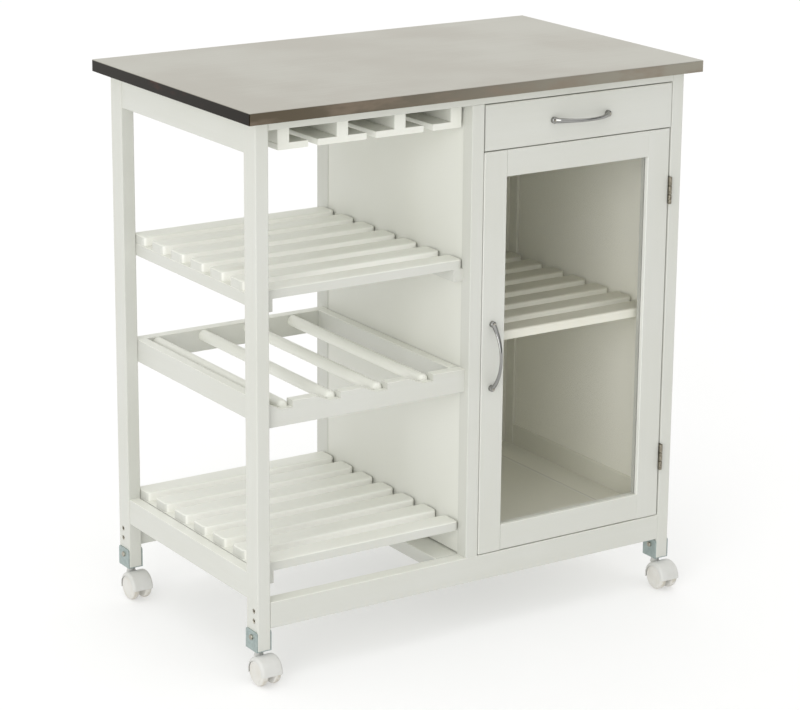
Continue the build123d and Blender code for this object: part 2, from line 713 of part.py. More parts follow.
def wheel():
    """The right-hand wheel of a caster, with a blind bore for the axle."""
    inner = HOOD_WEB_T / 2 + WHEEL_SIDE_GAP
    outer = inner + WHEEL_W
    shape = bar((inner, -TRAIL, WHEEL_R), (1, 0, 0), WHEEL_R, WHEEL_W)
    shape = fillet(shape.edges().filter_by(GeomType.CIRCLE), WHEEL_EDGE_R)
    bore_l = WHEEL_W - AXLE_END + RUN_CLEAR
    shape -= bar((inner, -TRAIL, WHEEL_R), (1, 0, 0), AXLE_R + PIN_CLEAR, bore_l)
    groove = bar((outer, -TRAIL, WHEEL_R), (-1, 0, 0), WHEEL_GROOVE_R, WHEEL_GROOVE_DEPTH)
    island_r = WHEEL_GROOVE_R - WHEEL_GROOVE_W
    groove -= bar((outer, -TRAIL, WHEEL_R), (-1, 0, 0), island_r, WHEEL_GROOVE_DEPTH)
    return shape - groove


def casters():
    """Four casters: bracket and stem on the post, and a hood with two wheels that swivels."""
    places = caster_places()
    save("caster_brackets", *[bracket(place) for place in places.values()])
    save("caster_stems", *[stem(place) for place in places.values()])
    for name, place in places.items():
        at = Pos(place[0], place[1], 0)
        save(f"caster_hood_{name}", *[at * solid for solid in hood()])
        save(f"wheel_{name}_b", at * wheel())
        save(f"wheel_{name}_a", at * mirror_x(wheel()))


os.makedirs("parts", exist_ok=True)
worktop()
posts()
rails()
divider_and_panels()
shelves()
bottle_rack()
stemware_rails()
drawer()
door()
hinges()
catch()
casters()
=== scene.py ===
# %% [markdown]
# # Dressing a kitchen cart
# The cart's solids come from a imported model: posts, rails, slats, a drawer, a glass door and four casters.
# This lesson gives them paint, steel, chrome and nylon, remakes handles, wheels, hoods and hinges in finer
# shape, and sets up a small studio. Everything is in metres, +X to the right, -Y to the front and +Z up.

import math

import bmesh
import bpy
from mathutils import Matrix, Vector


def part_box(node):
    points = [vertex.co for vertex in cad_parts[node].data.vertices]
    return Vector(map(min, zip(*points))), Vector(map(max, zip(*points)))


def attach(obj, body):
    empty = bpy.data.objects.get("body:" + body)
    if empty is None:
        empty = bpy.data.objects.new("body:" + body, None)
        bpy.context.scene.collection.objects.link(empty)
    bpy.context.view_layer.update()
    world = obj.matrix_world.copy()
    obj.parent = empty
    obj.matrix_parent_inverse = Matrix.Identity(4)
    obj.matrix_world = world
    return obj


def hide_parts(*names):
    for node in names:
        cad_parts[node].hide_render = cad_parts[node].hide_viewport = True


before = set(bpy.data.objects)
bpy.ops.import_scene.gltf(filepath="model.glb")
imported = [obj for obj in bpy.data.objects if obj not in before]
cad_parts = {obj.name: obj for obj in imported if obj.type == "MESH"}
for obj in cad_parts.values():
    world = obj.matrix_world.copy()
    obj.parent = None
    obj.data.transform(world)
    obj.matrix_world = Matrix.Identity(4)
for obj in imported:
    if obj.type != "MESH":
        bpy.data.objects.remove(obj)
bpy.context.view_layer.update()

# %% [markdown]
# ## The camera
# A camera is easiest to repeat when it is given as a place and three turns, instead of being dragged by
# hand. The lens is long, so the cart keeps nearly straight sides. A little vertical shift lowers the view
# without tilting it.

# %% Camera
CAMERA_PLACE = (-1.8823, -2.8885, 1.3544)
CAMERA_AZIMUTH = math.radians(-33.13)
CAMERA_ELEVATION = math.radians(15.74)
CAMERA_ROLL = math.radians(0.50)
CAMERA_FAR = 100
IMAGE_WIDTH = 800
FOCAL_PIXELS = 2741.7
SHIFT_PIXELS = -40
SENSOR_MM = 36.0


def show(name, data):
    """Puts a new object with this data in the scene."""
    item = bpy.data.objects.new(name, data)
    bpy.context.scene.collection.objects.link(item)
    return item


camera_data = bpy.data.cameras.new("camera")
camera_data.sensor_width = SENSOR_MM
camera_data.lens = FOCAL_PIXELS * SENSOR_MM / IMAGE_WIDTH
camera_data.shift_y = SHIFT_PIXELS / IMAGE_WIDTH
camera_data.clip_end = CAMERA_FAR
camera = show("camera", camera_data)
camera.matrix_world = (
    Matrix.Translation(CAMERA_PLACE)
    @ Matrix.Rotation(CAMERA_AZIMUTH, 4, "Z")
    @ Matrix.Rotation(math.pi / 2 - CAMERA_ELEVATION, 4, "X")
    @ Matrix.Rotation(CAMERA_ROLL, 4, "Z")
)
bpy.context.scene.camera = camera
print("lens", round(camera_data.lens, 1), "mm")

# %% [markdown]
# ## A way to write shader sums
# Node trees get long when every sum is wired by hand. This class holds one socket. Adding or multiplying
# two of them adds a Math node, so a pattern reads like a formula. `node` adds any other kind of node: its
# settings first, then the values or links of its sockets.


# %% Shader sums
class Wire:
    """A socket in a material that takes part in Python sums."""

    def __init__(self, socket):
        self.socket = socket

    def node(self, kind, settings=None, sockets=None, out=0):
        tree = self.socket.id_data
        new = tree.nodes.new("ShaderNode" + kind)
        for name, value in (settings or {}).items():
            setattr(new, name, value)
        for key, value in (sockets or {}).items():
            if isinstance(value, Wire):
                tree.links.new(value.socket, new.inputs[key])
            else:
                new.inputs[key].default_value = value
        return Wire(new.outputs[out])

    def sum(self, operation, first, second):
        return self.node("Math", {"operation": operation}, {0: first, 1: second})

    def __add__(self, other):
        return self.sum("ADD", self, other)

    def __radd__(self, other):
        return self.sum("ADD", other, self)

    def __sub__(self, other):
        return self.sum("SUBTRACT", self, other)

    def __rsub__(self, other):
        return self.sum("SUBTRACT", other, self)

    def __mul__(self, other):
        return self.sum("MULTIPLY", self, other)

    def __rmul__(self, other):
        return self.sum("MULTIPLY", other, self)

    def __pow__(self, other):
        return self.sum("POWER", self, other)

    def __gt__(self, other):
        return self.sum("GREATER_THAN", self, other)

    def stretch(self, x, y, z):
        """The same place with each axis drawn at its own scale."""
        return self.node("Mapping", None, {"Vector": self, "Scale": (x, y, z)})

    def noise(self, scale, detail=2.0, roughness=0.5):
        sockets = {"Vector": self, "Scale": scale, "Detail": detail, "Roughness": roughness}
        return self.node("TexNoise", None, sockets)

    def cells(self, scale):
        """Random cells: how far the nearest centre is, and a number that each cell keeps."""
        near = self.node("TexVoronoi", None, {"Vector": self, "Scale": scale})
        return near, near.beside("Color").axis(0)

    def beside(self, name):
        """Another output of the node that this socket belongs to."""
        return Wire(self.socket.node.outputs[name])

    def axis(self, index):
        """One coordinate of a place or a direction."""
        return self.node("SeparateXYZ", None, {"Vector": self}, out=index)

    def ramp(self, low, high):
        """0 below low, 1 above high, and a smooth step between."""
        sockets = {"Value": self, "From Min": low, "From Max": high}
        return self.node("MapRange", {"interpolation_type": "SMOOTHSTEP"}, sockets)

    def mix(self, low, high):
        """A colour that goes from low to high as this value goes from 0 to 1."""
        return self.node("Mix", {"data_type": "RGBA"}, {0: self, 6: low, 7: high}, out=2)

    def bump(self, depth, strength=1.0):
        """A surface that rises by depth, in metres, where this value is 1."""
        return self.node("Bump", None, {"Strength": strength, "Distance": depth, "Height": self})


print("shader sums: + - * ** >")


# %% Materials
def finish(name, constants):
    """A new material, its shader's plain settings, and the Object coordinates to draw on."""
    material = bpy.data.materials.new(name)
    material.use_nodes = True
    tree = material.node_tree
    shader = tree.nodes["Principled BSDF"]
    for key, value in constants.items():
        shader.inputs[key].default_value = value
    place = Wire(tree.nodes.new("ShaderNodeTexCoord").outputs["Object"])
    return material, shader, place


def feed(shader, **wires):
    """Links patterns to the shader's sockets: base_color to Base Color, and so on."""
    for key, wire in wires.items():
        socket = shader.inputs[key.replace("_", " ").title()]
        shader.id_data.links.new(wire.socket, socket)


def dress(material, *nodes):
    """Gives CAD nodes their material."""
    for node in nodes:
        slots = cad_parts[node].data.materials
        slots.clear()
        slots.append(material)
    print(material.name, "on", *nodes)


print("materials that come with the frame:", len(bpy.data.materials))

# %% [markdown]
# ## Painted wood
# The cart is pine under satin off-white paint. The paint hides the colour of the wood but not all of its
# relief: fibres run along each board, and a knot shows now and then as a faint warm oval. Each material has
# one direction of the grain, with noise drawn out along that axis, and boards that run the same way share
# it. Light and shade are painted into the paint too. The faces that look up are paler, painted light from
# above, and so are the gaps between a shelf's slats and the sides of the door's opening, painted light where
# they would be in shade. Inside the cabinet the paint is paler and warmer, painted light for the room behind
# the glass, and the tops of its slats are darker, painted shade. The Normal output of Texture Coordinate says
# which way a face looks. Smooth panels get the paint without the wood.

# %% Where light and shade are painted
ROOM_BLUR = 0.001
GAP_START = (0.003, 0.005)
FACE_TURN = (0.3, 0.8)

drawer_low, drawer_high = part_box("drawer_front")
room_low = (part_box("divider_panel")[1].x, drawer_high.y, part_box("cabinet_floor")[1].z)
room_high = (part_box("cabinet_side_panel")[0].x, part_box("cabinet_back_panel")[0].y, drawer_low.z)


def indoors(place):
    """1 inside the cabinet and 0 outside it: where the painted indoor light goes."""
    inside = 1.0
    for i in range(3):
        along = place.axis(i)
        inside = inside * along.ramp(room_low[i] - ROOM_BLUR, room_low[i])
        inside = inside * (1.0 - along.ramp(room_high[i] + ROOM_BLUR, room_high[i] + 2 * ROOM_BLUR))
    return inside


def slat_gaps(front):
    """The sides of a shelf's slats that face each other, behind the shelf's front: the gaps that get painted
    light.
    """
    start, end = (front + step for step in GAP_START)

    def share(place, facing):
        ahead = facing.axis(1)
        return (ahead * ahead).ramp(*FACE_TURN) * place.axis(1).ramp(start, end)

    return share


def sides(place, facing):
    """The faces that look left or right."""
    across = facing.axis(0)
    return (across * across).ramp(*FACE_TURN)


def level(place, facing):
    """The faces that look up."""
    return facing.axis(2).ramp(*FACE_TURN)


print("cabinet from", [round(v, 3) for v in room_low], "to", [round(v, 3) for v in room_high])

# %% Painted wood
SATIN = {"Specular IOR Level": 0.45}
# Painted light: paler tones for the faces that look up.
PAINTED_LIGHT_TONES = ((0.795, 0.80, 0.74, 1), (0.77, 0.775, 0.705, 1))
# Painted light: paler, warmer tones inside the cabinet.
PAINTED_INDOOR_LIGHT = ((0.815, 0.807, 0.712, 1), (0.795, 0.784, 0.682, 1))
KNOT_TINT = (0.58, 0.55, 0.45, 1)
GROWTH_SCALES = (85.0, 4.0)
FIBRE_SCALES = (700.0, 12.0)
KNOT_SCALES = (13.0, 4.2)
KNOT_SIZE = (0.03, 0.17)
KNOT_RARITY = 0.9
WOOD_RELIEF = 0.00006


def drawn_out(place, grain, across, along):
    """A place to draw on, at one scale across the grain and another along it."""
    scales = [across] * 3
    scales[grain] = along
    return place.stretch(*scales)


def painted_wood(name, grain, tones, accent=None, accent_tones=None, room=True):
    """Satin paint over pine whose fibres run along one axis: 0, 1 or 2 for X, Y or Z.

    An accent is one of the sums above, and says where the accent's tones, painted light or shade, lie over
    the rest. A piece that leaves the cabinet, as the door does, has no room, and keeps its own tones on its
    inner side instead of the painted indoor light.
    """
    material, shader, place = finish(name, SATIN)
    facing = place.beside("Normal")
    broad = place.noise(6.0, 3.0)
    growth = drawn_out(place, grain, *GROWTH_SCALES).noise(1.0, 5.0, 0.6)
    fine = drawn_out(place, grain, *FIBRE_SCALES).noise(1.0, 3.0, 0.6)
    peel = place.noise(900.0, 1.0)
    near, pick = drawn_out(place, grain, *KNOT_SCALES).cells(1.0)
    knot = (1.0 - near.ramp(*KNOT_SIZE)) * (pick > KNOT_RARITY)
    shade = (0.6 * broad + 0.3 * growth + 0.1 * fine).ramp(0.36, 0.66)
    # Painted light: the faces that look up get the paler tones.
    paint = level(place, facing).mix(shade.mix(*tones), shade.mix(*PAINTED_LIGHT_TONES))
    # Painted light: inside the cabinet the paint is paler and warmer.
    if room:
        paint = indoors(place).mix(paint, shade.mix(*PAINTED_INDOOR_LIGHT))
    if accent:
        paint = accent(place, facing).mix(paint, shade.mix(*accent_tones))
    relief = 0.5 * growth + 0.3 * fine + 0.2 * peel + 0.3 * knot
    feed(
        shader,
        base_color=(0.3 * knot).mix(paint, KNOT_TINT),
        roughness=0.33 + 0.1 * growth + 0.08 * fine,
        normal=relief.bump(WOOD_RELIEF, 0.5),
    )
    return material


print("one cell in", round(1 / (1 - KNOT_RARITY)), "has a knot")

# %% Boards
FRAME_PAINT = ((0.60, 0.605, 0.562, 1), (0.581, 0.586, 0.534, 1))
# Painted light for the faces in the gaps between slats.
PAINTED_GAP_LIGHT = ((0.86, 0.86, 0.81, 1), (0.84, 0.84, 0.78, 1))
# Painted light for the sides of the door's opening.
PAINTED_REVEAL_LIGHT = ((0.88, 0.885, 0.84, 1), (0.86, 0.865, 0.81, 1))
# Painted shade for the tops of the cabinet's slats.
PAINTED_SLAT_TOP_SHADE = ((0.70, 0.685, 0.58, 1), (0.68, 0.66, 0.55, 1))

boards = {
    ("frame_x", 0, FRAME_PAINT): """top_rail_front top_rail_back bottom_rail_front bottom_rail_back
        bottle_rack_front_rail bottle_rack_back_rail drawer_front drawer_back""",
    ("frame_y", 1, FRAME_PAINT): """top_side_rails bottom_side_rails bottom_rail_middle drawer_sides
        bottle_rack_side_boards drawer_runners shelf_bearers""",
    ("frame_z", 2, FRAME_PAINT): "front_posts back_posts divider_stile_front divider_stile_back",
    # Painted light: the rods and stem rails get the paler tones all over.
    ("rods", 1, PAINTED_LIGHT_TONES): "bottle_rack_rods stem_rail_webs stem_rail_feet",
}
for (name, grain, tones), nodes in boards.items():
    dress(painted_wood("paint_" + name, grain, tones), *nodes.split())
for slats in ("upper_shelf_slats", "lower_shelf_slats"):
    gaps = slat_gaps(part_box(slats)[0].y)
    # Painted light: the faces in the gaps between slats are paler.
    dress(painted_wood("paint_" + slats, 0, FRAME_PAINT, gaps, PAINTED_GAP_LIGHT), slats)
# Painted shade: the tops of the cabinet's slats are darker.
dress(painted_wood("paint_cabinet_slats", 0, FRAME_PAINT, level, PAINTED_SLAT_TOP_SHADE), "cabinet_shelf_slats")
dress(painted_wood("paint_door_rails", 0, FRAME_PAINT, room=False), "door_rails", "door_beads")
# Painted light: the faces that look left or right in the door's opening are paler.
dress(painted_wood("paint_door_stiles", 2, FRAME_PAINT, sides, PAINTED_REVEAL_LIGHT, room=False), "door_stiles")

# %% Painted panels
# Paler than the frame's paint: painted light for the shaded left bay. The drawer's bottom shares it.
BAY_LIGHT_PANEL_TONES = ((0.705, 0.71, 0.656, 1), (0.687, 0.69, 0.629, 1))
# Painted light: the right wall inside the cabinet is paler still, as if lit through the glass.
PAINTED_RIGHT_WALL_LIGHT = ((0.94, 0.93, 0.84, 1), (0.92, 0.91, 0.81, 1))
STRIP_PAINT = ((0.86, 0.85, 0.76, 1), (0.84, 0.83, 0.73, 1))
# A painted highlight along the seam's edge.
SEAM_HIGHLIGHT = (0.95, 0.95, 0.92, 1)
SEAM_DARK = (0.55, 0.53, 0.45, 1)
SEAM_W = 0.0016
SEAM_BLUR = 0.0005
STRIP_W = 0.045
SKIN_RELIEF = 0.00003


def painted_panel(name, tones, seam=None, indoor_light_tones=PAINTED_INDOOR_LIGHT):
    """The same paint on a smooth sheet, where only the roller's fine skin shows.

    A seam is the X where a paler strip starts, behind a painted highlight line and a dark line.
    """
    material, shader, place = finish(name, SATIN)
    broad = place.noise(5.0, 3.0)
    skin = place.noise(650.0, 2.0)
    shade = broad.ramp(0.34, 0.68)
    # Painted light: inside the cabinet the panel takes paler, warmer tones.
    paint = indoors(place).mix(shade.mix(*tones), shade.mix(*indoor_light_tones))
    if seam is not None:
        side = place.axis(0)
        for i, tone in enumerate((SEAM_HIGHLIGHT, SEAM_DARK, shade.mix(*STRIP_PAINT))):
            start = seam + i * SEAM_W
            paint = side.ramp(start - SEAM_BLUR, start).mix(paint, tone)
    feed(
        shader,
        base_color=paint,
        roughness=0.36 + 0.08 * broad + 0.05 * skin,
        normal=skin.bump(SKIN_RELIEF, 0.4),
    )
    return material


floor_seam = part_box("cabinet_floor")[1].x - STRIP_W
# Painted light: the right panel's inner face gets the paler wall tones.
right_wall = painted_panel("paint_right_panel", FRAME_PAINT, indoor_light_tones=PAINTED_RIGHT_WALL_LIGHT)
# Painted light: the divider panel's paler tones brighten the shaded bay.
dress(painted_panel("paint_divider", BAY_LIGHT_PANEL_TONES), "divider_panel", "drawer_bottom")
dress(painted_panel("paint_back_panel", FRAME_PAINT), "cabinet_back_panel")
dress(right_wall, "cabinet_side_panel")
dress(painted_panel("paint_floor", FRAME_PAINT, floor_seam), "cabinet_floor")

# %% [markdown]
# ## The steel worktop
# A thin stainless sheet is folded over a board. Its top is brushed lengthwise and carries soft brownish
# clouds, a painted reflection. Its edges are smoother, and painted with a darker reflection: the front edge
# goes from dark at the left to paler at the right with warm bands, and the left end is nearly black. The
# height of a point tells the top from the edges, so one material does both.

# %% Steel sheet
METAL = {"Metallic": 1.0}
STEEL_LIGHT = (0.535, 0.525, 0.47, 1)
# Painted reflections: the clouds on top, and the dark and warm tones of the edges.
STEEL_REFLECTED_CLOUD = (0.485, 0.465, 0.41, 1)
FRONT_EDGE_REFLECTION_DARK = (0.125, 0.103, 0.073, 1)
FRONT_EDGE_REFLECTION_PALE = (0.34, 0.32, 0.265, 1)
FRONT_EDGE_REFLECTION_WARM = (0.27, 0.215, 0.165, 1)
END_EDGE_REFLECTION_DARK = (0.013, 0.010, 0.006, 1)
END_EDGE_REFLECTION_WARM = (0.06, 0.022, 0.013, 1)
FOLD = (0.0004, 0.0012)
BRUSH_RELIEF = 0.00004

top_low, top_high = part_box("worktop_skin")


def steel_sheet():
    """Brushed along X on top, smoother down the edges, with painted reflections: clouds, dark edges, black
    left end.
    """
    material, shader, place = finish("steel_top", METAL)
    clouds = place.noise(5.0, 3.0, 0.55)
    streaks = place.stretch(3.0, 900.0, 900.0).noise(1.0, 3.0, 0.6)
    scratches = place.stretch(9.0, 260.0, 260.0).noise(1.0, 6.0, 0.7)
    bands = place.stretch(14.0, 14.0, 40.0).noise(1.0, 3.0, 0.6)
    side = place.axis(0)
    edge = 1.0 - place.axis(2).ramp(top_high.z - FOLD[1], top_high.z - FOLD[0])
    end = 1.0 - (side - top_low.x).ramp(*FOLD)
    # Painted reflection: soft clouds on top, broken by the brushing's streaks.
    top = (0.75 * clouds + 0.25 * streaks).ramp(0.40, 0.62).mix(STEEL_LIGHT, STEEL_REFLECTED_CLOUD)
    # Painted reflection on the edges: dark to pale along the front, with warm bands, near black at the left
    # end.
    along = side.ramp(top_low.x, top_high.x).mix(FRONT_EDGE_REFLECTION_DARK, FRONT_EDGE_REFLECTION_PALE)
    long_edge_reflection = (0.6 * bands.ramp(0.45, 0.7)).mix(along, FRONT_EDGE_REFLECTION_WARM)
    short_edge_reflection = bands.ramp(0.55, 0.75).mix(END_EDGE_REFLECTION_DARK, END_EDGE_REFLECTION_WARM)
    feed(
        shader,
        base_color=edge.mix(top, end.mix(long_edge_reflection, short_edge_reflection)),
        roughness=0.36 + 0.16 * streaks - 0.1 * edge,
        normal=(0.7 * streaks + 0.3 * scratches).bump(BRUSH_RELIEF, 0.5),
    )
    return material


dress(steel_sheet(), "worktop_skin")

# %% Backing board
BOARD_TONES = ((0.80, 0.80, 0.735, 1), (0.75, 0.75, 0.68, 1))
CHIP_RELIEF = 0.00005


def backing_board():
    """The board under the steel: white paper over pressed chips, whose lumps just show through."""
    material, shader, place = finish("core_board", {})
    lump = place.stretch(120.0, 210.0, 210.0).cells(1.0)[1]
    dust = place.noise(700.0, 2.0)
    feed(
        shader,
        base_color=(0.3 * lump + 0.7 * dust).mix(*BOARD_TONES),
        roughness=0.5 + 0.15 * dust,
        normal=lump.bump(CHIP_RELIEF, 0.5),
    )
    return material


dress(backing_board(), "worktop_core")

# %% [markdown]
# ## Small metal
# The brackets are zinc plated, with a faint pattern of crystals. The hinges and the screws are duller. The
# handles are chrome, which is nearly a mirror, so its look comes mostly from what stands round it.

# %% Zinc, plated steel and chrome
ZINC_TONES = ((0.32, 0.385, 0.375, 1), (0.46, 0.53, 0.515, 1))
HINGE_TONES = ((0.10, 0.085, 0.06, 1), (0.40, 0.37, 0.30, 1))
FASTENER_TONES = ((0.26, 0.24, 0.20, 1), (0.58, 0.55, 0.47, 1))
# Darker than bare chrome: a painted dark reflection of a dim room in front of the cart.
CHROME_DIMMED_TONES = ((0.26, 0.26, 0.25, 1), (0.34, 0.34, 0.33, 1))


def plated(name, tones, grain, roughness):
    """Plated steel with crystals of slightly different tone."""
    material, shader, place = finish(name, METAL)
    tone = place.cells(grain)[1]
    haze = place.noise(120.0, 3.0)
    feed(
        shader,
        base_color=(0.5 * tone + 0.5 * haze).mix(*tones),
        roughness=roughness + 0.14 * haze + 0.06 * tone,
        normal=haze.bump(SKIN_RELIEF, 0.5),
    )
    return material


def chrome_plate():
    """A mirror with a breath of haze, in tones painted darker as a dim reflection."""
    material, shader, place = finish("chrome", METAL)
    haze = place.noise(60.0, 3.0)
    feed(shader, base_color=haze.mix(*CHROME_DIMMED_TONES), roughness=0.05 + 0.06 * haze)
    return material


chrome = chrome_plate()
hinge_steel = plated("hinge_steel", HINGE_TONES, grain=500.0, roughness=0.2)
fastener_steel = plated("fastener_steel", FASTENER_TONES, grain=400.0, roughness=0.25)
zinc_steel = plated("zinc_steel", ZINC_TONES, grain=260.0, roughness=0.3)
dress(zinc_steel, "caster_brackets", "caster_stems", "door_catch_plate")
dress(hinge_steel, "hinge_pins")
dress(fastener_steel, "frame_fasteners", "drawer_handle_screws", "door_handle_screws")

# %% [markdown]
# ## Nylon and glass
# Hoods and wheels are moulded nylon: an even, slightly creamy white with a very fine skin. Glass is drawn as
# a pane that is mostly clear and mirrors more at a low angle. Layer Weight gives that share, alike on both
# faces of the pane, and feeding it to Alpha lets light through to the shelf without true refraction.

# %% Nylon and glass
HOOD_TONES = ((0.62, 0.62, 0.595, 1), (0.59, 0.59, 0.56, 1))
WHEEL_TONES = ((0.66, 0.65, 0.615, 1), (0.62, 0.605, 0.555, 1))
PLASTIC_TONES = ((0.80, 0.80, 0.78, 1), (0.76, 0.76, 0.74, 1))
# Wear from the floor, and painted shade under the hood.
WORN_AND_SHADED_TREAD = (0.47, 0.43, 0.35, 1)
GLASS_TONES = ((0.30, 0.31, 0.25, 1), (0.36, 0.37, 0.31, 1))


def nylon(name, tones):
    """Moulded nylon. Its tread, where a mesh has one, is creamier and duller: floor wear and painted hood
    shade.
    """
    material, shader, place = finish(name, {"Specular IOR Level": 0.4})
    cloud = place.noise(40.0, 3.0)
    skin = place.noise(1500.0, 2.0)
    tread = place.node("Attribute", {"attribute_name": "tread"}, out="Fac")
    # Scuffs on the tread, which also carry the painted shade under the hood.
    worn_and_shaded = tread * place.noise(160.0, 3.0).ramp(0.3, 0.6)
    feed(
        shader,
        base_color=(0.7 * worn_and_shaded).mix(cloud.ramp(0.35, 0.65).mix(*tones), WORN_AND_SHADED_TREAD),
        roughness=0.36 + 0.12 * cloud + 0.06 * skin + 0.2 * worn_and_shaded,
        normal=skin.bump(SKIN_RELIEF, 0.4),
    )
    return material


def clear_glass():
    """A clear pane with a faint smear, more of a mirror at a low angle."""
    material, shader, place = finish("clear_glass", {"IOR": 1.5, "Roughness": 0.02})
    smear = place.stretch(9.0, 9.0, 4.0).noise(1.0, 3.0)
    mirror = place.node("LayerWeight", None, {"Blend": 0.5}, out=1) ** 5.0
    feed(shader, base_color=smear.mix(*GLASS_TONES), alpha=0.025 + 0.02 * smear + 0.7 * mirror)
    return material


hood_nylon = nylon("hood_nylon", HOOD_TONES)
wheel_nylon = nylon("wheel_nylon", WHEEL_TONES)
dress(nylon("white_plastic", PLASTIC_TONES), "door_catch")
dress(clear_glass(), "door_glass")

# %% [markdown]
# ## New pieces
# Handles, wheels, hoods and hinges need rounder shapes than their solids have. Each is drawn in a bmesh from
# a few operators: a line of points that is rounded and spun, or a cylinder with a bevelled rim. At the end
# its doubles are merged and its faces turned outwards, and it rides on the body of the node it stands for.

# %% Tools for new pieces
MERGE_DIST = 1e-6
SHARP_ANGLE = math.radians(40)
ROUND_SEGMENTS = 6
RIM_SEGMENTS = 4
PIN_SEGMENTS = 32


def as_mesh(name, bm):
    """Moves a bmesh into a new mesh."""
    mesh = bpy.data.meshes.new(name)
    bm.to_mesh(mesh)
    bm.free()
    return mesh


def add_piece(name, bm, material, body, slot, *nodes):
    """Makes an object of a bmesh. It rides on a body and stands for CAD nodes."""
    bmesh.ops.remove_doubles(bm, verts=bm.verts, dist=MERGE_DIST)
    bmesh.ops.recalc_face_normals(bm, faces=bm.faces)
    for face in bm.faces:
        face.smooth = True
    mesh = as_mesh(name, bm)
    mesh.set_sharp_from_angle(angle=SHARP_ANGLE)
    mesh.materials.append(material)
    piece = show(name, mesh)
    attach(piece, body)
    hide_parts(*nodes)
    print(name, "has", len(mesh.polygons), "faces and rides on", body)


def rounded_pin(bm, start, end, radius, rim, segments=PIN_SEGMENTS, both=False):
    """A cylinder from one point to another, with its rim rounded at the end, or at both ends."""
    start, end = Vector(start), Vector(end)
    made = bmesh.ops.create_cone(
        bm, cap_ends=True, segments=segments, radius1=radius, radius2=radius, depth=(end - start).length
    )["verts"]
    turn = Vector((0, 0, 1)).rotation_difference(end - start).to_matrix()
    bmesh.ops.rotate(bm, verts=made, matrix=turn)
    bmesh.ops.translate(bm, verts=made, vec=(start + end) / 2)
    far = {vert for vert in made if (vert.co - end).length < (vert.co - start).length}
    rings = (far, set(made) - far) if both else (far,)
    edges = [edge for edge in bm.edges if any(set(edge.verts) <= ring for ring in rings)]
    bmesh.ops.bevel(
        bm, geom=edges, offset=rim, segments=RIM_SEGMENTS, profile=0.5, affect="EDGES", material=-1
    )


def line_of(bm, points, closed=False):
    """Edges from point to point, and back to the first one where the line is closed."""
    line = [bm.verts.new(point) for point in points]
    ends = line[1:] + line[:1] if closed else line[1:]
    for first, second in zip(line, ends):
        bm.edges.new((first, second))
    return line


def soften(bm, corners, offset, segments=ROUND_SEGMENTS):
    """Rounds corners of a line before it is spun."""
    bmesh.ops.bevel(
        bm, geom=corners, offset=offset, segments=segments, profile=0.5, affect="VERTICES", material=-1
    )


def spin_round(bm, axis, steps):
    """Spins a line all the way round an axis through the origin."""
    bmesh.ops.spin(
        bm, geom=bm.verts[:] + bm.edges[:], axis=axis, angle=2 * math.pi, steps=steps, use_merge=True
    )


print("edges over", round(math.degrees(SHARP_ANGLE)), "degrees stay sharp")

# %% [markdown]
# ## The bow handles
# Each handle is a chrome bow on two round feet, wider at its ends than in the middle. It could be a curve
# with a bevel, but a ring spun round the bow's centre is quicker to taper: each point then moves towards or
# away from the middle line of the bar, by how far along the bow it is. The feet are short cylinders with a
# rounded rim, and the ends of the bow go into them.

# %% Bow handles
FEET_APART = 0.084
BOW_REACH = 0.023
BOW_START = 0.0032
BOW_WIDE = (0.0042, 0.0074)
BOW_THICK = (0.0032, 0.0044)
BOW_STEPS = 48
FOOT_R = 0.0042
FOOT_H = 0.0048
FOOT_RIM_R = 0.0018
RING_R = 0.001
RING_SEGMENTS = 28


def bow_bar(bm, half):
    """The bow along X, in front of a face that looks along -Y, with its feet half the way off."""
    rise = BOW_REACH - BOW_THICK[0] / 2 - BOW_START
    radius = (half**2 + rise**2) / (2 * rise)
    half_sweep = math.asin(half / radius)
    hub = Vector((0, radius - rise - BOW_START, 0))
    ring = bmesh.ops.create_circle(bm, segments=RING_SEGMENTS, radius=RING_R)["verts"]
    bmesh.ops.rotate(bm, verts=ring, matrix=Matrix.Rotation(math.pi / 2, 3, "Y"))
    bmesh.ops.translate(bm, verts=ring, vec=hub - Vector((0, radius, 0)))
    bmesh.ops.rotate(bm, verts=ring, cent=hub, matrix=Matrix.Rotation(-half_sweep, 3, "Z"))
    bmesh.ops.spin(
        bm, geom=bm.verts[:] + bm.edges[:], cent=hub, axis=(0, 0, 1), angle=2 * half_sweep, steps=BOW_STEPS
    )
    for vert in bm.verts:
        spoke = (vert.co - hub).xy
        out = (spoke.length - radius) / RING_R
        up = vert.co.z / RING_R
        share = (spoke.angle(Vector((0, -1))) / half_sweep) ** 2
        thick = BOW_THICK[0] + (BOW_THICK[1] - BOW_THICK[0]) * share
        wide = BOW_WIDE[0] + (BOW_WIDE[1] - BOW_WIDE[0]) * share
        spoke = spoke.normalized() * (radius + out * thick / 2)
        vert.co = hub + Vector((spoke.x, spoke.y, up * wide / 2))
    bmesh.ops.holes_fill(bm, edges=bm.edges, sides=0)


def bow_handle(node, body, turn):
    """A bow on its feet, turned about Y and set in the place of its node."""
    bm = bmesh.new()
    half = FEET_APART / 2
    bow_bar(bm, half)
    for x in (-half, half):
        rounded_pin(bm, (x, 0, 0), (x, -FOOT_H, 0), FOOT_R, FOOT_RIM_R)
    low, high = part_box(node)
    bmesh.ops.rotate(bm, verts=bm.verts, matrix=Matrix.Rotation(turn, 3, "Y"))
    bmesh.ops.translate(bm, verts=bm.verts, vec=((low.x + high.x) / 2, high.y, (low.z + high.z) / 2))
    add_piece("bow_of_" + node, bm, chrome, body, "chrome", node)


bow_handle("drawer_handle", "drawer", 0)
bow_handle("door_handle", "door", math.pi / 2)

